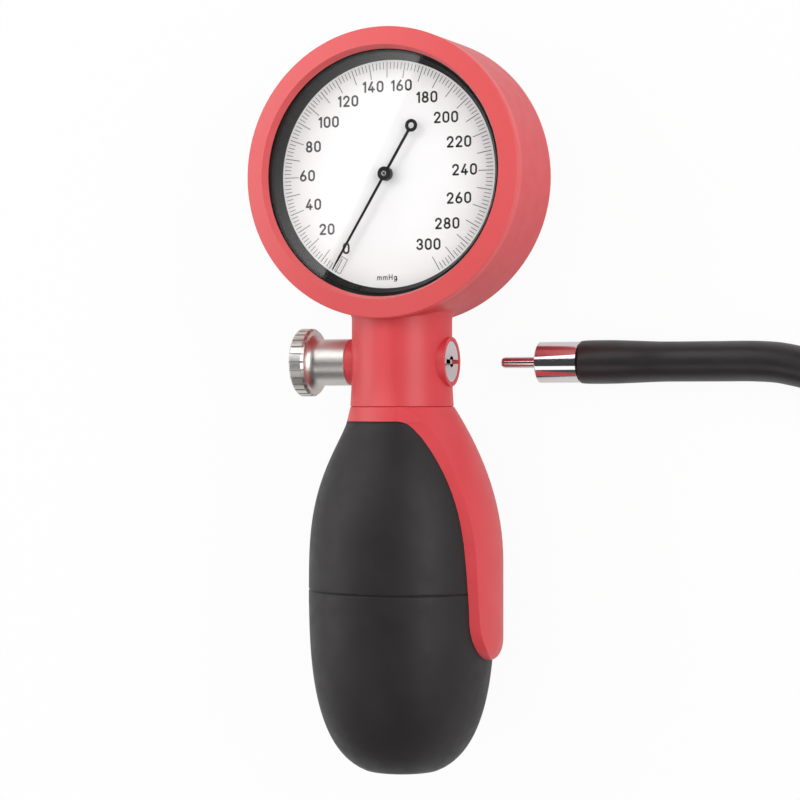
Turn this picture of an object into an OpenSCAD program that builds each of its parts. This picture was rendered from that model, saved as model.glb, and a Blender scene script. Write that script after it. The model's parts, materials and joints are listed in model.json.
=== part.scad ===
// Hand-held aneroid sphygmomanometer: dial head, neck with release valve, squeeze bulb,
// guard tongue and a cuff hose that is unplugged. It lies on its back.
// Z is up and is the dial's axis, Y runs from the bulb to the head, X points to the socket.
// The origin is the centre of the rear cover's flat face, which lies on the table.

/* [Bulb] */
// Largest radius of the bulb, which also sets the height of the handle's axis
bulb_r = 21.7; // [19:0.1:24]
// Length of the bulb below the guard ring
bulb_len = 81.8; // [70:0.1:92]
// Radius of the bulb under the guard ring
bulb_top_r = 12.8; // [12.4:0.1:13.6]
// Wall of the bulb
bulb_wall = 2.4; // [1.8:0.1:3]
// Radius of the inlet valve's cap
inlet_cap_r = 8.2; // [7:0.1:9]
// How far below the neck joint the bulb's mould line lies
mould_line = 42.5; // [36:0.1:48]

/* [Guard] */
// Height of the guard ring
ring_h = 3.5; // [2.5:0.1:5]
// How far the tongue reaches below the neck joint
tongue_len = 58.2; // [50:0.1:66]
// Half width of the tongue where it leaves the ring
tongue_half_w = 11.2; // [9:0.1:12]
// Half width of the tongue where its rounded tip begins
tongue_tip_w = 9; // [6.5:0.1:10]
// Length of the rounded tip
tongue_tip_len = 10.2; // [7:0.1:12]
// Lean of the tongue's sides
tongue_lean = 15; // [5:1:20]
// Thickness of the tongue over the bulb
tongue_t = 1.6; // [1.2:0.1:2.4]

/* [Neck] */
// Length of the neck from the drum's rear rim to the neck joint
neck_show = 19.35; // [17:0.05:22]
// Radius of the neck at its waist
neck_r = 11.7; // [11.2:0.1:12.2]
// Fillet where the neck runs into the drum
neck_fillet = 2.5; // [1.5:0.1:3.5]
// Radius of the neck's bore
neck_bore_r = 8.05; // [7.6:0.05:8.4]
// Distance from the neck joint to the axis of the valve and the socket
port_t = 10.25; // [9:0.05:12]
// How far the two port bosses stand out from the handle's axis
boss_x = 12.4; // [12.3:0.1:13.5]

/* [Head] */
// Radius of the drum at its front edge
drum_front_r = 33.15; // [32.6:0.05:34]
// How much wider the drum is at its rear rim
drum_flare = 0.6; // [0.3:0.1:1.2]
// Height of the drum's rear rim above the table
rim_z = 13.4; // [13.3:0.1:14.5]
// Height of the bezel's lip above the table
lip_z = 37.1; // [36.8:0.1:38]
// Width of the bezel's face
bezel_w = 4.3; // [4:0.05:4.8]
// Slope of the bezel's face
bezel_slope = 16; // [10:1:24]
// Rounding of the drum's front edge
edge_r = 0.5; // [0.3:0.1:0.9]
// Wall of the drum between its bore and its front edge
drum_wall = 2.75; // [2.6:0.05:3.2]

/* [Dial] */
// Width of the black ring between the bezel and the dial
lens_ring_w = 2.75; // [2.4:0.05:3.2]
// Depth of the dial below the bezel's lip
dial_depth = 6.3; // [6:0.1:7]
// Thickness of the dial
dial_t = 0.6; // [0.4:0.1:1]
// Thickness of the lens
lens_t = 1; // [0.8:0.1:1.2]
// How far the pointer's tip ends inside the dial's edge
tip_inset = 0.9; // [0.7:0.1:3]
// Distance from the pointer's hub to its tail ring
pointer_tail = 12.5; // [10:0.1:15]
// Angle of the pointer at zero pressure, from the X axis
zero_angle = 239; // [230:1:250]

/* [Rear cover] */
// Width of the flange around the rear cup
cup_step = 7.15; // [6.5:0.05:7.4]
// How far the flat face that the head rests on lies inside the cup's side
foot_inset = 3.7; // [3:0.1:5]
// Floor of the rear cup
cup_floor = 2; // [1.6:0.1:2.4]

/* [Movement] */
// Tooth module of the movement's gears
gear_module = 0.3; // [0.28:0.01:0.32]
// Teeth on the pointer's pinion
pinion_teeth = 12; // [12:1:12]
// Teeth on a full circle of the sector gear
sector_teeth = 120; // [110:1:122]
// How far the pressure capsule lies inside the rear cup's side
capsule_inset = 8.5; // [8.2:0.1:11]
// Thickness of the pressure capsule
capsule_h = 4.6; // [4:0.1:5]
// Thickness of the movement's plates
plate_t = 1; // [0.8:0.1:1.2]

/* [Release valve] */
// Radius of the valve's barrel
barrel_r = 5.45; // [5:0.05:6]
// Radius of the thumb wheel
wheel_r = 8; // [7:0.1:9]
// Width of the thumb wheel
wheel_w = 3.65; // [3:0.05:5]
// Distance from the boss to the end of the thumb wheel
knob_len = 13.1; // [11:0.1:15]
// Number of grooves around the thumb wheel
wheel_grooves = 27; // [18:1:32]
// Width of each groove
groove_w = 0.5; // [0.4:0.05:0.9]
// Depth of each groove
groove_depth = 0.45; // [0.25:0.05:0.6]

/* [Socket and plug] */
// Radius of the plug's pin
pin_r = 1.3; // [1.1:0.05:1.5]
// Length of the plug's pin
pin_len = 9.2; // [7:0.1:9.4]
// Radius of the plug's collar
collar_r = 4.77; // [4.4:0.01:5.2]
// Length of the plug's collar
collar_len = 10.3; // [8:0.1:13]
// Radius of the socket's face
socket_r = 4.7; // [4.4:0.1:5]
// Distance from the handle's axis to the tip of the loose plug's pin
plug_x = 19; // [17:0.5:24]

/* [Hose] */
// Outer radius of the cuff hose
hose_r = 4.63; // [4.3:0.01:5]
// Bend radius of the loop that the hose is put away in
loop_r = 50; // [46:1:54]
// Turn of that loop in degrees
loop_turn = 275; // [240:5:280]

/* [Hidden] */
$fn = 96;

// Clearances: fit is a shaft in its hole, seat is a piece set in its recess.
fit = 0.05;
seat = 0.1;
cut = 0.2;

// Heights on the dial's axis, from the table up.
axis_z = bulb_r;
gasket_t = 0.4;
flange_t = 1.5;
flange_z = rim_z - gasket_t;
drum_rear_r = drum_front_r + drum_flare;
neck_len = drum_rear_r + neck_show;
flange_r = drum_rear_r - 0.6;
cup_r = flange_r - cup_step;
foot_r = cup_r - foot_inset;
lip_r = drum_front_r - bezel_w;
dial_show_r = lip_r - lens_ring_w;
pointer_len = dial_show_r - tip_inset;
dial_z = lip_z - dial_depth;
skirt_z = dial_z - dial_t;
bore_r = drum_front_r - drum_wall;
skirt_r = bore_r - 2 * seat;
skirt_wall = 2.2;
shelf_z = lip_z - 2.2;
lens_z = shelf_z - 0.4 - lens_t;
lens_r = lip_r + 0.1;
lens_gasket_t = 0.3;
edge_show_r = lip_r - 0.7;

// Movement: every level follows from the capsule and the plates.
capsule_r = cup_r - capsule_inset;
mount_z = cup_floor;
mount_h = 5;
capsule_z = mount_z + mount_h;
base_t = 1.2;
base_z = flange_z;
base_top = base_z + base_t;
rocker_z = base_top + 2.1;
rocker_y = 3.95;
rocker_r = 0.7;
output_r = 0.45;
tail_w = 1.2;
running_gap = 0.3;
arm_t = 1;
arm_w = 1.6;
gear_plate_z = rocker_z + 2.6;
gear_plate_top = gear_plate_z + plate_t;
gear_z = gear_plate_top + 1;
gear_t = 1.2;
bridge_z = gear_plate_top + 4.8;
bridge_top = bridge_z + plate_t;
spring_z = gear_z + gear_t + 1.2;
spring_t = 0.6;
pivot_r = 0.4;
arbor_r = 0.8;
arbor_top_r = 0.62;
pinion_pitch_r = gear_module * pinion_teeth / 2;
sector_pitch_r = gear_module * sector_teeth / 2;
gear_centres = pinion_pitch_r + sector_pitch_r;
tail_y = rocker_y + tail_w / 2 + output_r + running_gap;
sector_angle = asin(tail_y / gear_centres);
sector_x = gear_centres * cos(sector_angle);
tail_len = 4.6;
tail_contact = 3.4;
output_x = sector_x + tail_contact;
output_top = gear_z + gear_t + 1;
pillar_r = 1.5;
plate_r = skirt_r - skirt_wall - 3;
plate_edge_y = -plate_r * 0.54;
// Pillars: how far each lies inside the plates' edge, and at what angle.
pillar_places = [[7.54, 166.8], [6.4, -36.25], [2.64, 63.43]];
pillars = [for (p = pillar_places) (plate_r - p[0]) * [cos(p[1]), sin(p[1])]];
base_r = skirt_r - skirt_wall - 3 * seat;
screw_head_r = 1.3;
screw_head_h = 0.7;
plate_screw_r = 0.7;
plate_screw_len = 3.2;
base_screw_r = 0.7;
base_screw_len = 4.4;
base_screw_ring = cup_r - 1.4;
base_screw_angles = [20, 140, 215];
tube_r = 1.8;
tube_bore_r = 1.15;
nipple_r = 1;
drop_y = capsule_r + tube_r + 0.9;
mount_r = 4;
mount_flange_t = 0.8;
nipple_z = mount_z + mount_flange_t + tube_r + seat;

// Rear cover and its screws.
cover_screw_r = 0.7;
cover_head_r = 1.25;
cover_head_h = 0.9;
cover_screw_len = 8;
cover_screw_ring = bore_r + 1.3;
cover_screw_angles = [45, 135, 225, 315];

// Inside of the neck.
block_r = neck_bore_r - seat;
block_low = -9.5;
block_top = 17;
passage_r = 1.2;
port_bore_r = 3.55;
valve_body_r = port_bore_r - fit;
stem_r = 2;
seat_x = 2;
needle_r = 1.2;
needle_seat_x = seat_x + 0.6;
needle_seat_r = 0.7;
valve_ring_r = barrel_r - 0.75;
valve_ring_t = 1;
outlet_r = 4.2;
outlet_seat_t = 1.8;
outlet_disc_t = 0.9;
outlet_lift = 0.8;
socket_flange_t = 1.7;
socket_gap = 0.5;
socket_shank_r = 3.4;
socket_x = boss_x - 0.1;
socket_in = 2;
socket_depth = pin_len + 0.2;
slot_w = 1;
slot_depth = 0.8;
knob_gap = 0.15;

// Bulb ends.
bulb_top_t = -ring_h;
bulb_end_t = bulb_top_t - bulb_len;
cap_rise = 1;
cap_t = bulb_end_t + cap_rise;
shank_r = 5;
ball_r = 1.6;
ball_chamber_r = ball_r + 0.15;
ball_port_r = 0.9;
ball_seat_t = bulb_end_t + 3.3;
ball_lift = 1.5;
ball_rest_t = ball_seat_t + sqrt(ball_r * ball_r - ball_port_r * ball_port_r) + 0.03;
cage_r = 2.5;
cage_t = 0.6;
cage_low_t = ball_rest_t + ball_r + ball_lift + 0.3;
shank_top_t = cage_low_t + cage_t;

// Cuff hose: the free stretch is [x, y from the plug's axis, height, radius].
lie = 0.02;
swell_r = hose_r + 0.45;
plug_z = swell_r + lie;
hose_z = hose_r + lie;
plug_y = port_t - neck_len;
collar_x = plug_x + pin_len;
hose_x = collar_x + collar_len;
barb_r = 3.2;
barb_len = 14;
hose_route = [
    [hose_x, 0, plug_z, swell_r - 0.15], [40, 0, plug_z, swell_r], [46, 0, plug_z, swell_r],
    [52, 0, plug_z, swell_r - 0.2], [58, 0, hose_z + 0.05, hose_r + 0.02],
    [65, 0, hose_z, hose_r], [72, 0, hose_z, hose_r], [78.5, 0, hose_z, hose_r],
    [84, -0.3, hose_z, hose_r], [88, -1, hose_z, hose_r], [92, -2, hose_z, hose_r],
    [96, -3.5, hose_z, hose_r], [100, -5.4, hose_z, hose_r], [104, -7.8, hose_z, hose_r],
    [107.5, -10.4, hose_z, hose_r], [110.8, -13.3, hose_z, hose_r], [113.7, -16.5, hose_z, hose_r]
];
loop_heading = -50;
loop_rings = 24;
route_end = hose_route[len(hose_route) - 1];
loop_start = [route_end[0], plug_y + route_end[1]];
loop_lead = [loop_start[0] + 2 * hose_r * cos(loop_heading),
    loop_start[1] + 2 * hose_r * sin(loop_heading)];
loop_centre = [loop_lead[0] + loop_r * cos(loop_heading + 90),
    loop_lead[1] + loop_r * sin(loop_heading + 90)];
loop_end = [loop_centre[0] + loop_r * cos(loop_heading + loop_turn - 90),
    loop_centre[1] + loop_r * sin(loop_heading + loop_turn - 90)];
end_heading = loop_heading + loop_turn;
hose_end = [loop_end[0] + 2 * hose_r * cos(end_heading),
    loop_end[1] + 2 * hose_r * sin(end_heading)];

// Points of an arc, from angle a to angle b in n steps.
function arc(c, r, a, b, n = 8) =
    [for (i = [0:n]) [c[0] + r * cos(a + (b - a) * i / n), c[1] + r * sin(a + (b - a) * i / n)]];

// Radius of the bulb at a distance t from the neck joint, which is negative below it.
bulb_waist_t = -46;
bulb_round_t = -37.1 * bulb_len / 81.8;
bulb_round_len = bulb_round_t - bulb_end_t + 0.35;
function bulb_upper(t) = bulb_top_r + (bulb_r - bulb_top_r)
    * (1 - pow(1 - pow((bulb_top_t - t) / (bulb_top_t - bulb_waist_t), 1.25), 3.9));
function bulb_lower(t) = bulb_r * pow(1 - pow((bulb_round_t - t) / bulb_round_len, 3.15), 1 / 2.8);
function bulb_radius(t) = t > bulb_waist_t ? bulb_upper(t) : min(bulb_r, bulb_lower(t));

// Outer radius of the guard, which swells from the ring into the tongue.
neck_joint_r = neck_r + 0.35;
tongue_r = bulb_r + tongue_t + 0.3;
guard_swell = 36;
tip_round = 4.2;
tip_drop = tongue_t + 0.1;
function guard_radius(t) = neck_joint_r
    + (tongue_r - neck_joint_r) * (1 - pow(1 - min(1, -t / guard_swell), 2))
    - tip_drop * (1 - sqrt(1 - pow(max(0, (-t - tongue_len + tip_round) / tip_round), 2)));

// Half width of the tongue where it meets the bulb, at a distance s below the neck joint.
tongue_tip_s = tongue_len - tongue_tip_len;
corner_w = 1.2;
corner_len = 5;
function tongue_side_w(s) = tongue_half_w - (tongue_half_w - tongue_tip_w) * pow(s / tongue_tip_s, 2)
    + corner_w * (1 - sqrt(1 - pow(max(0, 1 - (s - ring_h) / corner_len), 2)));
function tongue_w(s) = s < tongue_tip_s ? tongue_side_w(s)
    : tongue_tip_w * sqrt(max(0, 1 - pow((s - tongue_tip_s) / tongue_tip_len, 2)));
// The same edge in a frame that is turned by the lean of the tongue's side.
function leaned_w(s) = let (r = bulb_radius(-s) + seat, w = min(r, tongue_w(s)))
    cos(tongue_lean) * w + sin(tongue_lean) * sqrt(r * r - w * w);

// Ring of points for a swept tube: p is the centre, h the heading, r the radius.
function ring(p, h, r, n) = [for (k = [0:n - 1]) let (a = 360 * k / n - 90)
    [p[0] - sin(h) * r * cos(a), p[1] + cos(h) * r * cos(a), p[2] + r * sin(a)]];

// Tube through a list of stations [x, y, z, radius, heading], with flat ends.
module swept_tube(stations, n) {
    last = len(stations) - 1;
    points = [for (s = stations) each ring([s[0], s[1], s[2]], s[4], s[3], n)];
    sides = [for (i = [0:last - 1], k = [0:n - 1]) let (j = (k + 1) % n)
        each [[i * n + k, i * n + j, (i + 1) * n + k], [i * n + j, (i + 1) * n + j, (i + 1) * n + k]]];
    start = [for (k = [n - 1:-1:0]) k];
    end = [for (k = [0:n - 1]) last * n + k];
    polyhedron(points = points, faces = concat([start], sides, [end]), convexity = 6);
}

// Frame of the handle: local z runs along the handle to the head, from the neck joint.
module along_handle(t = 0) {
    translate([0, t - neck_len, axis_z]) rotate([-90, 0, 0]) children();
}

// Frames of the two ports: local z points out of the neck.
module socket_port() { translate([0, port_t - neck_len, axis_z]) rotate([0, 90, 0]) children(); }
module valve_port() { translate([0, port_t - neck_len, axis_z]) rotate([0, -90, 0]) children(); }

// Ring about local z, from height a to height b.
module tube(outer, inner, a, b) {
    translate([0, 0, a]) difference() {
        cylinder(r = outer, h = b - a);
        translate([0, 0, -cut]) cylinder(r = inner, h = b - a + 2 * cut);
    }
}

module rod(r, a, b) { translate([0, 0, a]) cylinder(r = r, h = b - a); }

// Screw: a head of radius head_r below z = 0 and a shank above it.
module screw(shank_r, head_r, head_h, length) {
    difference() {
        union() {
            rod(head_r, 0, head_h);
            rod(shank_r, head_h, length);
        }
        translate([-head_r, -0.15, -cut]) cube([2 * head_r, 0.3, 0.3 + cut]);
    }
}

/* Head */

module drum_shell() {
    fillet_x = drum_front_r - edge_r;
    fillet_z = lip_z - ((fillet_x - lip_r) * sin(bezel_slope) + edge_r) / cos(bezel_slope);
    rotate_extrude() polygon(concat(
        [[bore_r - seat, shelf_z], [bore_r - seat, rim_z], [drum_rear_r - 0.5, rim_z],
            [drum_rear_r, rim_z + 0.5]],
        arc([fillet_x, fillet_z], edge_r, 0, 90 - bezel_slope, 6),
        [[lip_r, lip_z], [edge_show_r, shelf_z]]
    ));
}

// Neck, with a fillet that runs out tangent to the drum's side.
module neck_shell() {
    drum_mid_r = (drum_front_r + drum_rear_r) / 2;
    flare_x = neck_r + neck_fillet;
    flare_t = neck_len - sqrt(pow(drum_mid_r + neck_fillet, 2) - flare_x * flare_x);
    tangent = 90 + asin(flare_x / (drum_mid_r + neck_fillet));
    end = flare_x + neck_fillet * cos(tangent);
    along_handle() rotate_extrude() polygon(concat(
        [[0, 0], [neck_joint_r, 0], [neck_r + 0.12, 4], [neck_r, 9]],
        arc([flare_x, flare_t], neck_fillet, 180, tangent, 6),
        [[end, neck_len - bore_r + 4], [0, neck_len - bore_r + 4]]
    ));
}

module head_housing() {
    color("indianred") difference() {
        union() {
            drum_shell();
            intersection() {
                neck_shell();
                rod(neck_len + neck_joint_r, 0, shelf_z - 0.5);
            }
            socket_port() rod(socket_r + 1, 8, boss_x);
            valve_port() rod(barrel_r + 0.05, 8, boss_x);
        }
        rod(bore_r, -axis_z, shelf_z);
        rod(flange_r + 0.4, -axis_z, rim_z);
        along_handle() rod(neck_bore_r, -cut, neck_len - bore_r + 2);
        socket_port() rod(socket_shank_r + fit, 0, boss_x + cut);
        socket_port() rod(socket_r + fit, socket_x - socket_flange_t - socket_gap, boss_x + cut);
        valve_port() rod(port_bore_r, 0, boss_x + cut);
        valve_port() rod(valve_ring_r + fit, boss_x - valve_ring_t - seat, boss_x + cut);
        for (a = cover_screw_angles) rotate(a) translate([cover_screw_ring, 0, 0])
            rod(cover_screw_r, rim_z - cut, rim_z + cover_screw_len);
    }
}

module lens_ring() {
    groove_low = lens_z - lens_gasket_t;
    taper = (edge_show_r - dial_show_r) / (shelf_z - dial_z);
    color("dimgray") rotate_extrude() polygon([
        [dial_show_r, dial_z], [skirt_r + seat, dial_z], [skirt_r + seat, shelf_z],
        [edge_show_r, shelf_z], [edge_show_r - taper * (shelf_z - lens_z - lens_t), lens_z + lens_t],
        [lens_r + fit, lens_z + lens_t], [lens_r + fit, groove_low],
        [edge_show_r - taper * (shelf_z - groove_low), groove_low]
    ]);
}

module lens_gasket() { color("black") tube(lens_r, edge_show_r - 0.6, lens_z - lens_gasket_t, lens_z); }

module lens() { color("lightcyan", 0.4) rod(lens_r, lens_z, lens_z + lens_t); }

module dial_plate() { color("white") tube(skirt_r, arbor_r + 0.6, skirt_z, dial_z); }

/* Movement */

hub_r = 1.58;
hub_top = dial_z + 2;
blade_z = dial_z + 1.3;
blade_t = 0.25;

module pointer() {
    tail_ring_r = 1.45;
    tail_hole_r = 0.7;
    color("black") rotate(zero_angle) difference() {
        union() {
            translate([0, 0, blade_z]) linear_extrude(blade_t) polygon([[0, 0.3], [pointer_len - 3, 0.24],
                [pointer_len, 0.08], [pointer_len, -0.08], [pointer_len - 3, -0.24], [0, -0.3]]);
            translate([-pointer_tail, -0.3, blade_z]) cube([pointer_tail, 0.6, blade_t]);
            translate([-pointer_tail, 0, 0]) rod(tail_ring_r, blade_z, blade_z + blade_t);
            rod(hub_r, dial_z + 0.4, hub_top);
        }
        translate([-pointer_tail, 0, 0]) rod(tail_hole_r, dial_z, hub_top);
        rod(arbor_top_r, dial_z, hub_top + cut);
    }
}

// Involute tooth on the X axis: teeth is the full circle's count, top the addendum in modules.
function involute_turn(base_r, r) = r <= base_r ? 0
    : sqrt(r * r / (base_r * base_r) - 1) * 180 / PI - acos(base_r / r);
function flank(teeth, top, slack) = let (
        pitch_r = gear_module * teeth / 2,
        base_r = pitch_r * cos(20),
        half = (PI * gear_module / 4 - slack) / pitch_r * 180 / PI + involute_turn(base_r, pitch_r),
        low_r = pitch_r - 1.05 * gear_module,
        high_r = pitch_r + top * gear_module)
    [for (i = [0:6]) let (r = low_r + (high_r - low_r) * i / 6, a = half - involute_turn(base_r, r))
        [r * cos(a), r * sin(a)]];
module gear_tooth(teeth, top, slack, root_r) {
    side = flank(teeth, top, slack);
    mirrored = [for (i = [6:-1:0]) [side[i][0], -side[i][1]]];
    polygon(concat([[root_r, side[0][1]]], side, mirrored, [[root_r, -side[0][1]]]));
}

gear_slack = 0.02;
pinion_root_r = pinion_pitch_r - 1.05 * gear_module;
sector_root_r = sector_pitch_r - 1.05 * gear_module;

module pinion_arbor() {
    color("goldenrod") {
        rod(pivot_r, gear_plate_z + 0.1, gear_plate_top + 0.1);
        rod(arbor_r, gear_plate_top + 0.1, gear_z - 0.3);
        translate([0, 0, gear_z - 0.3]) linear_extrude(gear_t + 0.6) union() {
            circle(r = pinion_root_r + 0.02);
            for (k = [0:pinion_teeth - 1]) rotate(sector_angle + 360 * k / pinion_teeth)
                gear_tooth(pinion_teeth, 0.8, gear_slack, 0.6);
        }
        rod(arbor_r, gear_z + gear_t + 0.3, spring_z - 0.2);
        rod(arbor_r + 0.4, spring_z - 0.2, spring_z + spring_t + 0.2);
        rod(arbor_r, spring_z + spring_t + 0.2, bridge_z - 0.1);
        difference() {
            rod(arbor_top_r, bridge_z - 0.1, hub_top + 0.1);
            rod(arbor_top_r / 2, hub_top - 0.2, hub_top + cut);
        }
    }
}

spring_in_r = arbor_r + 0.4 + 0.35;
spring_pitch = 0.9;
spring_turns = 4;
spring_out_r = spring_in_r + spring_pitch * spring_turns;
spring_w = 0.2;

module hairspring() {
    steps = 24;
    function spiral(r0) = [for (i = [0:steps * spring_turns])
        let (a = 360 * i / steps, r = r0 + spring_pitch * i / steps) [r * cos(a), r * sin(a)]];
    inner = spiral(spring_in_r);
    outer = spiral(spring_in_r + spring_w);
    last = len(outer) - 1;
    color("lightsteelblue") translate([0, 0, spring_z]) linear_extrude(spring_t)
        polygon(concat(inner, [for (i = [last:-1:0]) outer[i]]));
}

module hairspring_stud() {
    color("goldenrod") difference() {
        translate([spring_out_r + spring_w / 2, 0, 0]) rod(0.7, spring_z - 0.3, bridge_z);
        hairspring();
    }
}

module plate_outline() {
    intersection() {
        circle(r = plate_r);
        translate([-plate_r, plate_edge_y]) square([2 * plate_r, 2 * plate_r]);
    }
}

// Window in a plate, from angle a to angle b.
module plate_window(a, b) {
    intersection() {
        difference() { circle(r = plate_r - 6); circle(r = plate_r - 17); }
        polygon(concat([[0, 0]], arc([0, 0], plate_r, a, b, 4)));
    }
}

module bridge_plate() {
    color("khaki") translate([0, 0, bridge_z]) linear_extrude(plate_t) difference() {
        plate_outline();
        circle(r = arbor_top_r + fit);
        translate([sector_x, tail_y]) circle(r = pivot_r + fit);
        for (p = pillars) translate(p) circle(r = plate_screw_r + fit);
        plate_window(95, 150);
        plate_window(183, 213);
    }
}

module upper_pillars() {
    color("goldenrod") for (p = pillars) translate(p) difference() {
        rod(pillar_r, gear_plate_top, bridge_z);
        rod(plate_screw_r, bridge_z - plate_screw_len + 0.2, bridge_z + cut);
    }
}

module gear_plate() {
    color("khaki") translate([0, 0, gear_plate_z]) linear_extrude(plate_t) difference() {
        plate_outline();
        circle(r = pivot_r + fit);
        translate([sector_x, tail_y]) circle(r = pivot_r + fit);
        translate([output_x - 1, rocker_y - 1]) square([2, 3.6]);
        translate([-9, 3]) circle(r = 4.5);
        translate([-6, 15]) circle(r = 4);
    }
}

module lower_pillars() {
    color("goldenrod") for (p = pillars) translate(p) rod(pillar_r, base_top, gear_plate_z);
}

module plate_screws() {
    color("silver") for (p = pillars) translate([p[0], p[1], bridge_top + screw_head_h])
        rotate([180, 0, 0]) screw(plate_screw_r, screw_head_r, screw_head_h, plate_screw_len);
}

module sector_gear() {
    mesh_angle = sector_angle + 180;
    first = mesh_angle - 34.5;
    color("gold") translate([sector_x, tail_y, gear_z]) difference() {
        union() {
            rod(2.2, 0, gear_t);
            linear_extrude(gear_t)
                polygon(concat([[1, 0]], arc([0, 0], sector_root_r + 0.03, first - 2, first + 41, 24)));
            for (k = [0:13]) rotate(first + 3 * k) linear_extrude(gear_t)
                gear_tooth(sector_teeth, 0.7, gear_slack, sector_root_r - 0.6);
            translate([0, -tail_w / 2, 0]) cube([tail_len, tail_w, gear_t]);
        }
        rod(arbor_r, -cut, gear_t + cut);
        translate([0, 0, -cut]) linear_extrude(gear_t + 2 * cut)
            polygon(concat(arc([0, 0], 5, first + 5, first + 34, 6),
                arc([0, 0], sector_root_r - 2, first + 36.5, first + 2.5, 14)));
    }
}

module sector_arbor() {
    color("goldenrod") translate([sector_x, tail_y, 0]) {
        rod(pivot_r, gear_plate_z + 0.1, gear_plate_top + 0.1);
        rod(arbor_r, gear_plate_top + 0.1, bridge_z - 0.1);
        rod(pivot_r, bridge_z - 0.1, bridge_top - 0.1);
    }
}

shaft_low_x = -2.6;
shaft_high_x = output_x + 1.2;

module rocking_shaft() {
    color("goldenrod") {
        translate([0, rocker_y, rocker_z]) rotate([0, 90, 0]) {
            rod(rocker_r, shaft_low_x, shaft_high_x);
            rod(pivot_r, shaft_low_x - 1.1, shaft_low_x);
            rod(pivot_r, shaft_high_x, shaft_high_x + 1.1);
        }
        translate([-arm_w / 2, -0.9, rocker_z - arm_t / 2]) cube([arm_w, rocker_y + 0.9, arm_t]);
        translate([output_x, rocker_y, 0]) rod(output_r, rocker_z, output_top);
    }
}

// Ear that carries one pivot of the rocking shaft, from x = a to x = b.
module shaft_ear(a, b) {
    translate([a, rocker_y - 1.4, base_top]) cube([b - a, 2.8, rocker_z - base_top + 1.2]);
}

module movement_base() {
    color("khaki") difference() {
        union() {
            rod(base_r, base_z, base_top);
            shaft_ear(shaft_low_x - 1.3, shaft_low_x - 0.1);
            shaft_ear(shaft_high_x + 0.1, shaft_high_x + 1.3);
        }
        rod(3, base_z - cut, base_top + cut);
        translate([-tube_r - 0.6, -base_r - cut, base_z - cut])
            cube([2 * tube_r + 1.2, base_r - capsule_r, base_t + 2 * cut]);
        translate([0, rocker_y, rocker_z]) rotate([0, 90, 0])
            rod(pivot_r + fit, shaft_low_x - 1.5, shaft_high_x + 1.5);
        for (a = base_screw_angles) rotate(a) translate([base_screw_ring, 0, 0])
            rod(base_screw_r + fit, base_z - cut, base_top + cut);
        for (a = [80, 175, 320]) rotate(a) translate([11, 0, 0]) rod(4.5, base_z - cut, base_top + cut);
    }
}

module base_screws() {
    color("silver") for (a = base_screw_angles) rotate(a) translate([base_screw_ring, 0, base_top + screw_head_h])
        rotate([180, 0, 0]) screw(base_screw_r, screw_head_r, screw_head_h, base_screw_len);
}

/* Pressure capsule */

capsule_rim_z = capsule_z + capsule_h / 2;
skin = 0.3;
boss_r = 2.2;
lift_pin_r = 0.5;
pin_top = rocker_z - arm_t / 2 - 0.2;
capsule_top = capsule_z + capsule_h;

// Corrugated skin above the rim, as a half section from the boss to the rim.
function skin_z(r) = r > capsule_r - 0.8 ? 0
    : r > capsule_r - 2.6 ? (capsule_h / 2 - skin) * (capsule_r - 0.8 - r) / 1.8
    : capsule_h / 2 - skin - (r > boss_r + 1 ? 0.35 * (1 - cos(360 * (r - boss_r - 1) / 3.7)) : 0);
skin_steps = 48;
function skin_section() = concat(
    [for (i = [0:skin_steps]) let (r = capsule_r * i / skin_steps) [r, skin_z(r)]],
    [for (i = [skin_steps:-1:0]) let (r = capsule_r * i / skin_steps) [r, skin_z(r) + skin]]);

module capsule_upper() {
    color("darkkhaki") translate([0, 0, capsule_rim_z]) rotate_extrude() polygon(skin_section());
}

module capsule_lower() {
    color("darkkhaki") difference() {
        translate([0, 0, capsule_rim_z]) mirror([0, 0, 1]) rotate_extrude() polygon(skin_section());
        rod(passage_r, capsule_z - cut, capsule_z + 1);
    }
}

module push_pin() {
    color("silver") {
        rod(boss_r, capsule_top, capsule_top + 0.9);
        rod(lift_pin_r + 0.3, capsule_top + 0.9, pin_top - 1.2);
        rod(lift_pin_r, pin_top - 1.2, pin_top);
    }
}

module capsule_mount() {
    color("goldenrod") difference() {
        union() {
            rod(mount_r + 3, mount_z, mount_z + mount_flange_t);
            rod(mount_r, mount_z, capsule_z);
            translate([0, 0, nipple_z]) rotate([90, 0, 0]) rod(nipple_r, 0, mount_r + 4);
        }
        translate([0, 0, nipple_z]) rotate([90, 0, 0]) rod(0.5, -0.5, mount_r + 4 + cut);
        rod(0.5, nipple_z, capsule_z + cut);
    }
}

tube_bend = 3.2;
tube_start = block_top + 1.2 - neck_len;
tube_stop = -mount_r - 0.2;

module gauge_tube_path(r, over) {
    level = axis_z;
    low = nipple_z;
    color("gainsboro") rotate([0, 0, 90]) {
        // Down from the neck to the capsule's nipple, in two quarter bends.
        translate([tube_start - over, 0, level]) rotate([0, 90, 0])
            rod(r, 0, -drop_y - tube_bend - tube_start + over);
        translate([-drop_y - tube_bend, 0, level - tube_bend]) rotate([90, 0, 0])
            rotate_extrude(angle = 90) translate([tube_bend, 0]) circle(r = r);
        translate([-drop_y, 0, 0]) rod(r, low + tube_bend, level - tube_bend);
        translate([-drop_y + tube_bend, 0, low + tube_bend]) rotate([90, 0, 0]) rotate([0, 0, 180])
            rotate_extrude(angle = 90) translate([tube_bend, 0]) circle(r = r);
        translate([-drop_y + tube_bend, 0, low]) rotate([0, 90, 0])
            rod(r, 0, drop_y - tube_bend + tube_stop + over);
    }
}

module gauge_tube() {
    color("gainsboro") difference() {
        gauge_tube_path(tube_r, 0);
        gauge_tube_path(nipple_r, cut);
    }
}

/* Rear cover */

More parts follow.
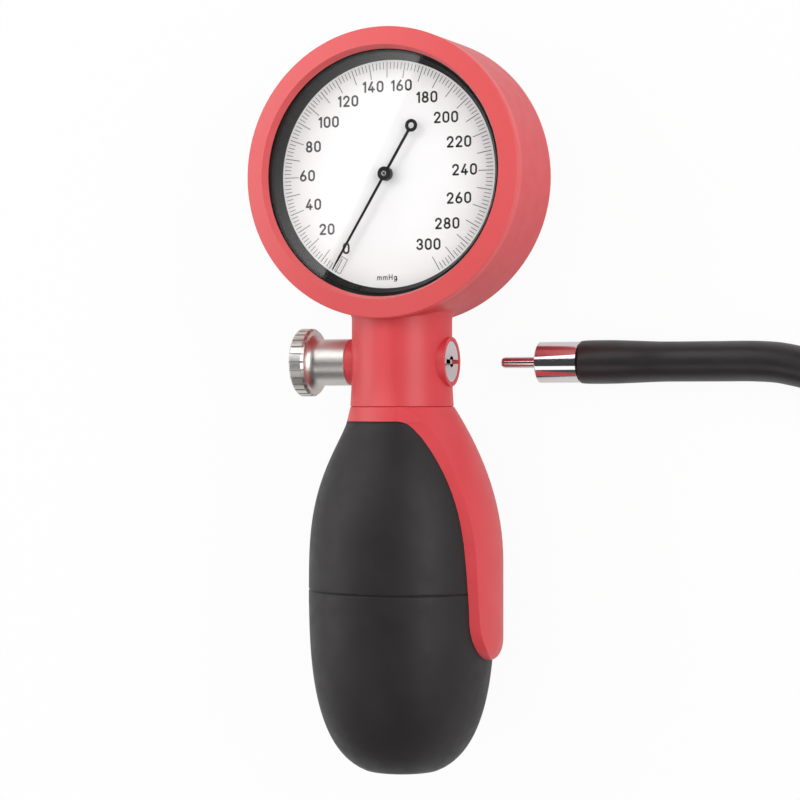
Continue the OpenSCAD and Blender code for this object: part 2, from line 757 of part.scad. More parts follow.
module rear_cover() {
    cup_in = cup_r - 3;
    color("indianred") difference() {
        rotate_extrude() polygon(concat(
            [[0, 0]], arc([foot_r, 2.2], 2.2, -90, -8, 6),
            [[cup_r, flange_z - flange_t - 2.4]],
            arc([cup_r + 1.6, flange_z - flange_t - 1.6], 1.6, 180, 90, 5),
            [[flange_r - 0.3, flange_z - flange_t], [flange_r, flange_z - flange_t + 0.3],
                [flange_r, flange_z], [skirt_r, flange_z], [skirt_r, skirt_z],
                [skirt_r - skirt_wall, skirt_z], [skirt_r - skirt_wall, base_z], [cup_in, base_z],
                [cup_in - 1, cup_floor + 1], [cup_in - 2, cup_floor], [0, cup_floor]]
        ));
        for (a = cover_screw_angles) rotate(a) translate([cover_screw_ring, 0, 0]) {
            rod(cover_screw_r + fit, flange_z - flange_t - cut, flange_z + cut);
            rod(cover_head_r + fit, flange_z - flange_t - cut, flange_z - flange_t + cover_head_h);
        }
        for (a = base_screw_angles) rotate(a) translate([base_screw_ring, 0, 0])
            rod(base_screw_r, base_top + screw_head_h - base_screw_len - 0.5, base_z + cut);
        translate([-tube_r - 1.2, -skirt_r - 1, axis_z - tube_r - 1])
            cube([2 * tube_r + 2.4, skirt_wall + 2, skirt_z - axis_z + tube_r + 1 + cut]);
    }
}

module cover_gasket() {
    color("black") difference() {
        tube(flange_r, skirt_r + seat, flange_z, rim_z);
        for (a = cover_screw_angles) rotate(a) translate([cover_screw_ring, 0, 0])
            rod(cover_screw_r + fit, flange_z - cut, rim_z + cut);
    }
}

module cover_screws() {
    color("silver") for (a = cover_screw_angles) rotate(a)
        translate([cover_screw_ring, 0, flange_z - flange_t])
            screw(cover_screw_r, cover_head_r, cover_head_h, cover_screw_len);
}

/* Inside of the neck */

module valve_block() {
    color("dimgray") difference() {
        along_handle() {
            difference() {
                union() {
                    rod(block_r, block_low + 1, block_top);
                    // Bead that the bulb's neck is stretched over.
                    rotate_extrude() polygon([[0, block_low], [block_r - 0.6, block_low],
                        [block_r + 0.8, block_low + 1.6], [block_r, block_low + 2.3], [0, block_low + 2.3]]);
                    rod(2.4, block_top, block_top + 1);
                    rod(nipple_r, block_top + 1, block_top + 5);
                }
                rod(outlet_r, block_low - cut, block_low + outlet_seat_t + outlet_disc_t + outlet_lift + 0.4);
                rod(passage_r, block_low, block_top - 2);
                rod(0.5, block_top - 3, block_top + 5 + cut);
            }
        }
        valve_port() {
            rod(port_bore_r, seat_x + 2.2, neck_r);
            rod(needle_r + 0.5, needle_seat_x, neck_r);
            rod(needle_seat_r, 0, neck_r);
        }
        socket_port() {
            rod(passage_r, 0, neck_r);
            rod(socket_shank_r + fit, socket_in, neck_r);
        }
    }
}

module outlet_valve_seat() {
    color("silver") along_handle(block_low) difference() {
        rod(outlet_r - fit, 0, outlet_seat_t);
        rod(0.75, -cut, outlet_seat_t + cut);
        for (a = [0:60:300]) rotate(a) translate([2, 0, 0]) rod(0.55, -cut, outlet_seat_t + cut);
    }
}

module outlet_valve_disc() {
    color("darkred") along_handle(block_low) {
        rod(3.3, outlet_seat_t + 0.03, outlet_seat_t + 0.03 + outlet_disc_t);
        rod(0.7, 0.2, outlet_seat_t + 0.03);
    }
}

module release_valve_body() {
    color("goldenrod") valve_port() {
        difference() {
            rod(valve_body_r, seat_x + 2.3, boss_x - 0.05);
            rod(stem_r + fit, seat_x + 2, boss_x + cut);
            // Two flutes let the air out along the stem.
            for (a = [0, 180]) rotate(a) translate([stem_r + 0.2, 0, 0]) rod(0.5, seat_x + 2, boss_x + cut);
        }
    }
}

module release_valve_ring() {
    color("black") valve_port() tube(valve_ring_r, valve_body_r, boss_x - valve_ring_t - seat, boss_x - seat);
}

needle_gap = 0.04;
needle_tail_r = 0.6;
stem_low = seat_x + 4.4;

module release_valve_needle() {
    // The cone ends just short of its seat's edge.
    cone = 0.56;
    function cone_x(r) = needle_seat_x + (r - needle_seat_r + needle_gap) / cone;
    color("white") valve_port() rotate_extrude() polygon([
        [0, cone_x(0.2)], [0.3, cone_x(0.3)], [needle_r, cone_x(needle_r)],
        [needle_r, stem_low - seat], [needle_tail_r, stem_low - seat],
        [needle_tail_r, stem_low + 2.4], [0, stem_low + 2.4]
    ]);
}

module release_valve_stem() {
    color("silver") valve_port() difference() {
        union() {
            rod(stem_r, stem_low, boss_x + knob_gap);
            rod(stem_r - 0.3, boss_x + knob_gap, boss_x + knob_gap + 7);
        }
        rod(needle_tail_r + fit, stem_low - cut, stem_low + 2.6);
    }
}

module release_valve_knob() {
    a = boss_x + knob_gap;
    b = boss_x + knob_len;
    inner = b - wheel_w;
    foot = wheel_r - 1.4;
    // Concave flare from the barrel out to the wheel's inner face.
    flare_len = 2.2;
    flare_turn = 2 * atan((foot - barrel_r) / flare_len);
    flare_r = flare_len / sin(flare_turn);
    color("lightgray") valve_port() difference() {
        rotate_extrude() polygon(concat(
            [[stem_r - 0.3, a], [barrel_r - 0.2, a], [barrel_r, a + 0.2]],
            arc([barrel_r + flare_r, inner - flare_len], flare_r, 180, 180 - flare_turn, 6),
            [[wheel_r - groove_depth, inner], [wheel_r, inner + 0.6],
                [wheel_r, b - 0.4], [wheel_r - 0.4, b], [wheel_r - 1.6, b], [wheel_r - 2, b - 0.4],
                [1.2, b - 0.4], [1.2, a + 7], [stem_r - 0.3, a + 7]]
        ));
        for (k = [0:wheel_grooves - 1]) rotate(360 * k / wheel_grooves)
            translate([wheel_r - groove_depth, -groove_w / 2, inner - cut])
                cube([groove_depth + cut, groove_w, wheel_w + 2 * cut]);
    }
}

module hose_socket() {
    color("whitesmoke") socket_port() difference() {
        union() {
            rod(socket_r, socket_x - socket_flange_t, socket_x);
            rod(socket_shank_r, socket_in + fit, socket_x - socket_flange_t);
        }
        rod(pin_r + fit, socket_x - socket_depth, socket_x + cut);
        rod(passage_r - 0.2, 0, socket_x);
        translate([-socket_r - 1, -slot_w / 2, socket_x - slot_depth])
            cube([2 * socket_r + 2, slot_w, slot_depth + cut]);
    }
}

module socket_ring() {
    color("black") socket_port() tube(socket_r, socket_shank_r + 0.05,
        socket_x - socket_flange_t - socket_gap, socket_x - socket_flange_t);
}

/* Guard and bulb */

guard_steps = 24;
joint_groove = 0.3;
guard_in_r = block_r + fit;

module guard() {
    swell_len = tongue_len - tip_round;
    outer = concat(
        [[neck_joint_r - joint_groove, 0], [guard_radius(-joint_groove), -joint_groove]],
        [for (i = [1:guard_steps - 1]) let (t = -swell_len * i / guard_steps) [guard_radius(t), t]],
        [for (i = [0:8]) let (t = -swell_len - tip_round * sin(90 * i / 8)) [guard_radius(t), t]]
    );
    inner = [for (i = [guard_steps:-1:0]) let (t = -ring_h - (tongue_len + 1 - ring_h) * i / guard_steps)
        [bulb_radius(t) + seat, t]];
    color("indianred") along_handle() {
        // Ring between the neck and the bulb.
        rotate_extrude() polygon([[guard_in_r, 0], [neck_joint_r - joint_groove, 0],
            [neck_joint_r, -joint_groove], [bulb_top_r, -ring_h], [guard_in_r, -ring_h]]);
        // Tongue: the swept shell, cut by two leaning sides that close in towards the tip.
        intersection() {
            rotate_extrude() polygon(concat([[neck_joint_r - 1, 0]], outer, inner, [[neck_joint_r - 1, -ring_h]]));
            tongue_cut(-1);
            tongue_cut(1);
        }
    }
}

// One leaning side of the tongue, seen along X: x is the distance from the neck joint.
module tongue_cut(side) {
    straight = [for (i = [0:16]) let (s = ring_h + (tongue_tip_s - ring_h) * pow(i / 16, 1.5)) [s, leaned_w(s)]];
    tip = [for (i = [1:14]) let (s = tongue_tip_s + tongue_tip_len * sin(90 * i / 14)) [s, leaned_w(s)]];
    rotate(-side * tongue_lean) rotate([0, 90, 0]) linear_extrude(tongue_r + 5)
        mirror([0, side < 0 ? 1 : 0]) polygon(concat([[0, -tongue_r], [0, neck_joint_r]], straight, tip, [[tongue_len, -tongue_r]]));
}

bulb_steps = 56;

module squeeze_bulb() {
    step = (bulb_top_t - cap_t) / bulb_steps;
    line_w = 0.25;
    outer = [for (i = [0:bulb_steps]) let (t = bulb_top_t - step * i) [bulb_radius(t), t]];
    bottom = cap_t + bulb_wall;
    throat = block_low + 2.3;
    inner_steps = 28;
    inner = [for (i = [0:inner_steps]) let (t = bottom + (throat - 4 - bottom) * i / inner_steps)
        [bulb_radius(t) - bulb_wall, t]];
    color("dimgray") along_handle() difference() {
        rotate_extrude() polygon(concat(
            [[block_r + fit, bulb_top_t]], outer, [[shank_r + fit, cap_t], [shank_r + fit, bottom]],
            inner, [[block_r + 1.2, throat], [block_r + fit, throat]]
        ));
        rotate_extrude() translate([bulb_r + 0.02, -mould_line]) polygon([[-0.35, 0], [0.3, line_w], [0.3, -line_w]]);
        rod(inlet_cap_r + fit, bulb_end_t - 1, cap_t + 0.9);
    }
}

module inlet_valve_body() {
    dome_r = (inlet_cap_r * inlet_cap_r + cap_rise * cap_rise) / (2 * cap_rise);
    half = asin(inlet_cap_r / dome_r);
    color("dimgray") along_handle() difference() {
        union() {
            rotate_extrude() polygon(concat(
                [[0, cap_t + 0.9]], [[inlet_cap_r, cap_t + 0.9]],
                arc([0, bulb_end_t + dome_r], dome_r, -90 + half, -90, 10)
            ));
            rod(shank_r, cap_t + 0.9, shank_top_t);
        }
        rod(ball_port_r, bulb_end_t - cut, ball_seat_t + cut);
        rod(ball_chamber_r, ball_seat_t, shank_top_t + cut);
        rod(cage_r + fit, cage_low_t, shank_top_t + cut);
    }
}

module inlet_valve_ball() {
    color("silver") along_handle(ball_rest_t) sphere(r = ball_r);
}

module inlet_valve_cage() {
    color("silver") along_handle(cage_low_t) difference() {
        rod(cage_r, 0, cage_t);
        for (a = [0:90:270]) rotate(a) translate([1.2, 0, 0]) rod(0.5, -cut, cage_t + cut);
    }
}

/* Plug and hose */

module plug_frame() { translate([0, plug_y, plug_z]) rotate([0, 90, 0]) children(); }

// The pin is pressed into the collar with a thinner tenon.
tenon_r = pin_r - 0.2;
tenon_len = 3;

module plug_pin() {
    color("silver") plug_frame() difference() {
        rotate_extrude() polygon([[0, plug_x], [pin_r - 0.5, plug_x], [pin_r - 0.12, plug_x + 0.35],
            [pin_r, plug_x + 0.9], [pin_r, collar_x], [tenon_r, collar_x], [tenon_r, collar_x + tenon_len],
            [0, collar_x + tenon_len]]);
        rod(0.5, plug_x - cut, collar_x + tenon_len + cut);
    }
}

module plug_collar() {
    color("silver") plug_frame() difference() {
        rotate_extrude() polygon([[0, collar_x], [collar_r - 0.5, collar_x], [collar_r, collar_x + 0.35],
            [collar_r, hose_x - 0.2], [collar_r - 0.2, hose_x], [0, hose_x]]);
        rod(tenon_r, collar_x - cut, collar_x + tenon_len);
        rod(0.8, collar_x, hose_x + cut);
    }
}

module plug_barb() {
    color("goldenrod") plug_frame() difference() {
        rotate_extrude() polygon(concat([[0, hose_x]], [for (k = [0:3]) each [
            [barb_r, hose_x + barb_len * k / 4 + (k == 0 ? 0 : 0.01)],
            [barb_r - 0.7, hose_x + barb_len * (k + 1) / 4 - 0.01]]],
            [[0, hose_x + barb_len - 0.01]]));
        rod(0.8, hose_x - cut, hose_x + barb_len + cut);
    }
}

// Heading of the free stretch at station i, from its neighbours.
function heading(route, i) = let (
        a = route[max(0, i - 1)], b = route[min(len(route) - 1, i + 1)])
    i == 0 ? 0 : i == len(route) - 1 ? loop_heading : atan2(b[1] - a[1], b[0] - a[0]);

module cuff_hose() {
    stations = [for (i = [0:len(hose_route) - 1]) let (s = hose_route[i])
        [s[0], plug_y + s[1], s[2], s[3], heading(hose_route, i)]];
    color("dimgray") difference() {
        swept_tube(stations, 10);
        plug_frame() rod(barb_r + fit, hose_x - cut, hose_x + barb_len + 1);
    }
}

loop_steps = ceil(loop_rings * loop_turn / 360);
loop_stations = concat(
    [[loop_start[0], loop_start[1], hose_z, hose_r, loop_heading]],
    [for (i = [0:loop_steps]) let (h = loop_heading + loop_turn * i / loop_steps)
        [loop_centre[0] + loop_r * sin(h), loop_centre[1] - loop_r * cos(h), hose_z, hose_r, h]],
    [[hose_end[0], hose_end[1], hose_z, hose_r, end_heading]]
);
// Least gap between stretches of the loop that lie more than a quarter of it apart.
loop_gap = min([for (i = [0:len(loop_stations) - 1], j = [i + loop_rings / 4:len(loop_stations) - 1])
    norm([loop_stations[i][0] - loop_stations[j][0], loop_stations[i][1] - loop_stations[j][1]])])
    - 2 * hose_r;
echo(loop_gap = loop_gap);

module hose_coil() {
    color("dimgray") difference() {
        swept_tube(loop_stations, 6);
        translate([hose_end[0], hose_end[1], hose_z]) rotate([0, 0, end_heading]) rotate([0, -90, 0])
            rod(barb_r + fit, -cut, 8);
    }
}

connector_len = 22;

module cuff_connector() {
    color("silver") translate([hose_end[0], hose_end[1], hose_z]) rotate([0, 0, end_heading])
        rotate([0, 90, 0]) difference() {
            rotate_extrude() polygon([[0, -7], [barb_r - 0.5, -7], [barb_r, -5.5], [barb_r - 0.5, -4],
                [barb_r, -2.5], [barb_r - 0.5, 0], [hose_r - 0.4, 0], [hose_r - 0.1, 0.3], [hose_r - 0.1, 4],
                [hose_r - 0.6, 4.5], [2.6, 5], [2.6, 8], [3.4, 9], [3.4, 10.5], [2.2, 11.5],
                [2, connector_len - 0.6], [1.5, connector_len], [0, connector_len]]);
            rod(1, -7 - cut, connector_len + cut);
        }
}

head_housing();
lens_ring();
lens_gasket();
lens();
dial_plate();
pointer();
pinion_arbor();
hairspring();
hairspring_stud();
bridge_plate();
upper_pillars();
gear_plate();
lower_pillars();
plate_screws();
sector_gear();
sector_arbor();
rocking_shaft();
movement_base();
base_screws();
push_pin();
capsule_upper();
capsule_lower();
capsule_mount();
gauge_tube();
rear_cover();
cover_gasket();
cover_screws();
valve_block();
outlet_valve_seat();
outlet_valve_disc();
release_valve_body();
release_valve_ring();
release_valve_needle();
release_valve_stem();
release_valve_knob();
hose_socket();
socket_ring();
guard();
squeeze_bulb();
inlet_valve_body();
inlet_valve_ball();
inlet_valve_cage();
plug_pin();
plug_collar();
plug_barb();
cuff_hose();
hose_coil();
cuff_connector();
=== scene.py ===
"""Looks for the hand-held aneroid sphygmomanometer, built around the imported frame.

It lies on its back on a pale table. Z is up, Y runs from the bulb to the dial head and
X points to the hose socket. Sizes are in metres; MM turns millimetres into metres.
"""

import json
import math

import bpy
from mathutils import Matrix, Vector


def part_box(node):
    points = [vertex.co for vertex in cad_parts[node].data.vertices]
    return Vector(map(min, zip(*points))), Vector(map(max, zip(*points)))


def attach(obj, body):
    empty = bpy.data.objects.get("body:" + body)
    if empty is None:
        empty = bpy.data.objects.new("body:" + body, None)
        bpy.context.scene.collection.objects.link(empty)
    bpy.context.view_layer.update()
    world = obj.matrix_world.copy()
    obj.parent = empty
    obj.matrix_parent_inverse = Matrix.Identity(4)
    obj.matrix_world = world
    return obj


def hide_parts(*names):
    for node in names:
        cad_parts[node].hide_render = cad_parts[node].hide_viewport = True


MM = 0.001

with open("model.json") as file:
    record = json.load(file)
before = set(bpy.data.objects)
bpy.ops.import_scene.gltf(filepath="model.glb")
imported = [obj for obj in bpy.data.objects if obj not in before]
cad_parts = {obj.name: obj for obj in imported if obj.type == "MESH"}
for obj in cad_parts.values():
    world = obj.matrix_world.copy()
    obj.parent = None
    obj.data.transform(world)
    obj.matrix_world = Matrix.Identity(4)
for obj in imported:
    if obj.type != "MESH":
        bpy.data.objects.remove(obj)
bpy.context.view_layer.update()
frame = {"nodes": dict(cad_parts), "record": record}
nodes = frame["nodes"]

# Places that the frame gives: the handle's axis, the neck joint and the dial's face.
bulb_low, bulb_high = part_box("squeeze_bulb")
AXIS_Z = (bulb_low.z + bulb_high.z) / 2
JOINT_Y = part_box("guard")[1].y
DIAL_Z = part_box("dial_plate")[1].z


# Camera: a long lens to the right of the dial's normal, level with the neck.
CAMERA_AZIMUTH = math.radians(21.3)
FOCAL_PX = 2150
IMAGE_PX = 800
SENSOR_MM = 36
METRES_PER_PX = 0.233 * MM
CAMERA_LEFT_PX = 2
CAMERA_UP_PX = 6


def make_camera():
    right = Vector((math.cos(CAMERA_AZIMUTH), 0, -math.sin(CAMERA_AZIMUTH)))
    back = Vector((math.sin(CAMERA_AZIMUTH), 0, math.cos(CAMERA_AZIMUTH)))
    up = Vector((0, 1, 0))
    data = bpy.data.cameras.new("camera")
    data.sensor_width = SENSOR_MM
    data.lens = SENSOR_MM * FOCAL_PX / IMAGE_PX
    camera = bpy.data.objects.new("camera", data)
    bpy.context.scene.collection.objects.link(camera)
    place = Vector((0, JOINT_Y, AXIS_Z)) + METRES_PER_PX * (
        FOCAL_PX * back - CAMERA_LEFT_PX * right + CAMERA_UP_PX * up
    )
    turn = Matrix((right, up, back)).transposed().to_4x4()
    camera.matrix_world = Matrix.Translation(place) @ turn
    bpy.context.scene.camera = camera


# Mesh helpers.


def add_mesh(name, verts, faces, material, body="root", smooth=True):
    """A new piece from vertices and faces, which rides on a body."""
    mesh = bpy.data.meshes.new(name)
    mesh.from_pydata([tuple(v) for v in verts], [], faces)
    mesh.validate()
    mesh.polygons.foreach_set("use_smooth", [smooth] * len(mesh.polygons))
    mesh.materials.append(material)
    obj = bpy.data.objects.new(name, mesh)
    bpy.context.scene.collection.objects.link(obj)
    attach(obj, body)
    return obj


def rings_to_mesh(rings, closed_path=False):
    """Faces between rings of equal counts, with flat ends unless the path closes."""
    count = len(rings[0])
    verts = [p for ring in rings for p in ring]
    faces = []
    spans = len(rings) if closed_path else len(rings) - 1
    for i in range(spans):
        a, b = i * count, ((i + 1) % len(rings)) * count
        for k in range(count):
            j = (k + 1) % count
            faces.append((a + k, a + j, b + j, b + k))
    if not closed_path:
        faces.append(tuple(reversed(range(count))))
        faces.append(tuple(range((len(rings) - 1) * count, len(rings) * count)))
    return verts, faces


# Cuff hose: stations of the free stretch as (x, y from the plug, z, radius), in metres. Its
# ends are rounded by HOSE_LIP: LIP_SHAPE has the shares along the hose and in from its side.
HOSE_R = 0.00463
PLUG_Y = -0.04285
HOSE_ROUTE = [
    (0.0385, 0, 0.0051, 0.00493), (0.0405, 0, 0.0051, 0.00508), (0.046, 0, 0.0051, 0.00508),
    (0.052, 0, 0.0051, 0.00488), (0.058, 0, 0.0047, 0.00465), (0.065, 0, 0.00465, 0.00463),
    (0.072, 0, 0.00465, 0.00463), (0.0785, 0, 0.00465, 0.00463),
    (0.084, -0.0003, 0.00465, 0.00463), (0.088, -0.001, 0.00465, 0.00463),
    (0.092, -0.002, 0.00465, 0.00463), (0.096, -0.0035, 0.00465, 0.00463),
    (0.100, -0.0054, 0.00465, 0.00463), (0.104, -0.0078, 0.00465, 0.00463),
    (0.1075, -0.0104, 0.00465, 0.00463), (0.1108, -0.0133, 0.00465, 0.00463),
    (0.1137, -0.0165, 0.00465, 0.00463),
]
LOOP_HEADING = math.radians(-50)
LOOP_R = 0.050
LOOP_TURN = math.radians(275)
LOOP_STEPS = 96
HOSE_SIDES = 40
HOSE_LIP = 0.0006
LIP_SHAPE = ((0, 1), (0.3, 0.3), (1, 0))
SPLINE_STEPS = 4
THIRDS = (1 / 3, 2 / 3)


def spline(points, steps):
    """A smooth line through the points, each a tuple of any length."""
    out = []
    for i in range(len(points) - 1):
        p0, p1 = points[max(0, i - 1)], points[i]
        p2, p3 = points[i + 1], points[min(len(points) - 1, i + 2)]
        for s in range(steps):
            t = s / steps
            out.append(tuple(
                0.5 * (2 * b + (c - a) * t + (2 * a - 5 * b + 4 * c - d) * t**2
                       + (3 * b - a - 3 * c + d) * t**3)
                for a, b, c, d in zip(p0, p1, p2, p3)
            ))
    out.append(tuple(points[-1]))
    return out


def hose_stations():
    """Centres and radii along the whole hose, from the plug to the connector."""
    route = [(x, PLUG_Y + y, z, r) for x, y, z, r in HOSE_ROUTE]
    stations = spline(route, SPLINE_STEPS)
    z = route[-1][2]
    step = Vector((math.cos(LOOP_HEADING), math.sin(LOOP_HEADING))) * 2 * HOSE_R
    lead = Vector(route[-1][:2]) + step
    centre = lead + LOOP_R * Vector((-math.sin(LOOP_HEADING), math.cos(LOOP_HEADING)))
    stations += [(route[-1][0] + step.x * s, route[-1][1] + step.y * s, z, HOSE_R)
                 for s in THIRDS]
    for i in range(LOOP_STEPS + 1):
        h = LOOP_HEADING + LOOP_TURN * i / LOOP_STEPS
        stations.append((centre.x + LOOP_R * math.sin(h), centre.y - LOOP_R * math.cos(h),
                         z, HOSE_R))
    h = LOOP_HEADING + LOOP_TURN
    last = stations[-1]
    for s in (*THIRDS, 1):
        stations.append((last[0] + 2 * HOSE_R * s * math.cos(h),
                         last[1] + 2 * HOSE_R * s * math.sin(h), z, HOSE_R))
    return stations


def hose_ring(centre, ahead, radius):
    """Points of a round section, square to the way ahead."""
    side = ahead.cross(Vector((0, 0, 1))).normalized()
    up = side.cross(ahead).normalized()
    out = []
    for k in range(HOSE_SIDES):
        a = 2 * math.pi * k / HOSE_SIDES
        out.append(centre + radius * (math.cos(a) * side + math.sin(a) * up))
    return out


def make_hose(material):
    stations = hose_stations()
    centres = [Vector(s[:3]) for s in stations]
    rings = []
    last = len(centres) - 1
    for i, centre in enumerate(centres):
        ahead = (centres[min(last, i + 1)] - centres[max(0, i - 1)]).normalized()
        radius = stations[i][3]
        if i == 0:
            rings += [hose_ring(centre + a * HOSE_LIP * ahead, ahead, radius - b * HOSE_LIP)
                      for a, b in LIP_SHAPE]
        elif i == last:
            rings += [hose_ring(centre - a * HOSE_LIP * ahead, ahead, radius - b * HOSE_LIP)
                      for a, b in reversed(LIP_SHAPE)]
        else:
            rings.append(hose_ring(centre, ahead, radius))
    verts, faces = rings_to_mesh(rings)
    hose = add_mesh("hose", verts, faces, material)
    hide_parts("cuff_hose", "hose_coil")


# Materials. The Mix node has a socket of each name for every data type, so its colour
# sockets are picked by number. Noise mostly stays between NOISE_LOW and NOISE_HIGH.
MIX_A, MIX_B, MIX_OUT = 6, 7, 2
NOISE_LOW, NOISE_HIGH = 0.3, 0.7
WHITE = (1, 1, 1, 1)


def new_node(tree, kind, **values):
    """A shader node; values set its sockets where the names match, else its properties."""
    node = tree.nodes.new(kind)
    for key, value in values.items():
        if key in node.inputs:
            node.inputs[key].default_value = value
        else:
            setattr(node, key, value)
    return node


def map_range(node, low, high, start, end):
    """Sets a Map Range node, which turns start to end into low to high."""
    for key, number in zip(("From Min", "From Max", "To Min", "To Max"),
                           (start, end, low, high)):
        node.inputs[key].default_value = number


class Material:
    """A Principled material with helpers for its texture nodes, in object coordinates."""

    def __init__(self, name, color, roughness, metallic=0.0):
        self.material = bpy.data.materials.new(name)
        self.material.use_nodes = True
        self.tree = self.material.node_tree
        self.shader = self.tree.nodes["Principled BSDF"]
        self.color = color
        self.set("Base Color", (*color, 1))
        self.set("Roughness", roughness)
        self.set("Metallic", metallic)
        self.roughness = roughness
        self.place = self.node("ShaderNodeTexCoord").outputs["Object"]

    def node(self, kind, **values):
        return new_node(self.tree, kind, **values)

    def set(self, socket, value):
        self.shader.inputs[socket].default_value = value

    def link(self, out, into):
        self.tree.links.new(out, into)

    def noise(self, scale, detail=3.0, stretch=None):
        """Noise of about one lump per 1 / scale metres; stretch scales each axis."""
        node = self.node("ShaderNodeTexNoise", Scale=scale, Detail=detail)
        place = self.place
        if stretch:
            mapping = self.node("ShaderNodeMapping", Scale=stretch)
            self.link(place, mapping.inputs["Vector"])
            place = mapping.outputs["Vector"]
        self.link(place, node.inputs["Vector"])
        return node.outputs["Fac"]

    def remap(self, value, low, high, start=NOISE_LOW, end=NOISE_HIGH):
        node = self.node("ShaderNodeMapRange")
        map_range(node, low, high, start, end)
        self.link(value, node.inputs["Value"])
        return node.outputs["Result"]

    def vary_color(self, scale, share):
        """Lighter and darker clouds, share above and below the colour."""
        mix = self.node("ShaderNodeMix", data_type="RGBA")
        mix.inputs[MIX_A].default_value = (*[c * (1 - share) for c in self.color], 1)
        mix.inputs[MIX_B].default_value = (*[min(1, c * (1 + share)) for c in self.color], 1)
        self.link(self.remap(self.noise(scale), 0, 1), mix.inputs["Factor"])
        self.link(mix.outputs[MIX_OUT], self.shader.inputs["Base Color"])

    def tint_above(self, low, high, color):
        """Another colour above a height, blended in between low and high."""
        parts = self.node("ShaderNodeSeparateXYZ")
        self.link(self.place, parts.inputs[0])
        mix = self.node("ShaderNodeMix", data_type="RGBA")
        self.link(self.remap(parts.outputs["Z"], 0, 1, low, high), mix.inputs["Factor"])
        self.link(self.shader.inputs["Base Color"].links[0].from_socket, mix.inputs[MIX_A])
        mix.inputs[MIX_B].default_value = (*color, 1)
        self.link(mix.outputs[MIX_OUT], self.shader.inputs["Base Color"])

    def vary_roughness(self, scale, spread):
        value = self.remap(self.noise(scale), self.roughness - spread, self.roughness + spread)
        self.link(value, self.shader.inputs["Roughness"])

    def bump(self, height, distance):
        """Bump of a height texture, distance metres deep; several of them add up."""
        node = self.node("ShaderNodeBump", Distance=distance, Strength=1.0)
        self.link(height, node.inputs["Height"])
        old = self.shader.inputs["Normal"].links
        if old:
            self.link(old[0].from_socket, node.inputs["Normal"])
        self.link(node.outputs["Normal"], self.shader.inputs["Normal"])


def moulded_plastic(name, color, roughness, grain=6e-6, spec=0.5):
    """Plastic with a fine grain, and slow waves from moulding."""
    m = Material(name, color, roughness)
    m.set("Specular IOR Level", spec)
    m.vary_color(scale=90, share=0.025)
    m.vary_roughness(scale=220, spread=0.035)
    m.bump(m.noise(scale=3500, detail=2), grain)
    m.bump(m.noise(scale=160, detail=2), distance=1.2e-5)
    return m


def rubber(name, color, roughness, spec=0.3, grain=1.2e-5, stretch=None):
    """Rubber with cloudy colour and a fine matt skin; stretch draws the skin out."""
    m = Material(name, color, roughness)
    m.set("Specular IOR Level", spec)
    m.vary_color(scale=140, share=0.10)
    m.vary_roughness(scale=300, spread=0.05)
    m.bump(m.noise(scale=5200, detail=3, stretch=stretch), grain)
    return m


def turned_metal(name, color, roughness, axis, lines=1.5e-6):
    """Metal with fine lathe rings about the axis named x, y or z."""
    m = Material(name, color, roughness, metallic=1.0)
    stretch = tuple(9000 if letter == axis else 60 for letter in "xyz")
    m.vary_color(scale=240, share=0.015)
    m.vary_roughness(scale=700, spread=roughness * 0.07)
    m.bump(m.noise(scale=1, detail=2, stretch=stretch), lines)
    return m


def glass(name, color):
    """Clear glass that lets light and shadow rays straight through."""
    m = Material(name, color, roughness=0.02)
    m.set("Transmission Weight", 1.0)
    m.set("IOR", 1.45)
    m.vary_roughness(scale=60, spread=0.008)
    paths = m.node("ShaderNodeLightPath")
    straight = m.node("ShaderNodeMath", operation="MAXIMUM")
    m.link(paths.outputs["Is Shadow Ray"], straight.inputs[0])
    m.link(paths.outputs["Is Diffuse Ray"], straight.inputs[1])
    clear = m.node("ShaderNodeBsdfTransparent", Color=(*color, 1))
    mix = m.node("ShaderNodeMixShader")
    m.link(straight.outputs[0], mix.inputs[0])
    m.link(m.shader.outputs[0], mix.inputs[1])
    m.link(clear.outputs[0], mix.inputs[2])
    m.link(mix.outputs[0], m.tree.nodes["Material Output"].inputs["Surface"])
    return m


# Painted light: above a height, the housing's bezel face is a paler red than the rest of the
# plastic, standing in for the light that the face catches.
RED = (0.645, 0.050, 0.060)
RED_ROUGHNESS = 0.42
BEZEL_PAINTED_LIGHT_RED = (0.72, 0.085, 0.090)
PAINTED_LIGHT_LOW_Z = 0.0332
PAINTED_LIGHT_BLEND = 0.5 * MM


def housing_plastic():
    m = moulded_plastic("bezel_painted_light_plastic", RED, RED_ROUGHNESS)
    # Painted light: the red turns paler above this height, over the bezel face.
    m.tint_above(PAINTED_LIGHT_LOW_Z, PAINTED_LIGHT_LOW_Z + PAINTED_LIGHT_BLEND, BEZEL_PAINTED_LIGHT_RED)
    return m


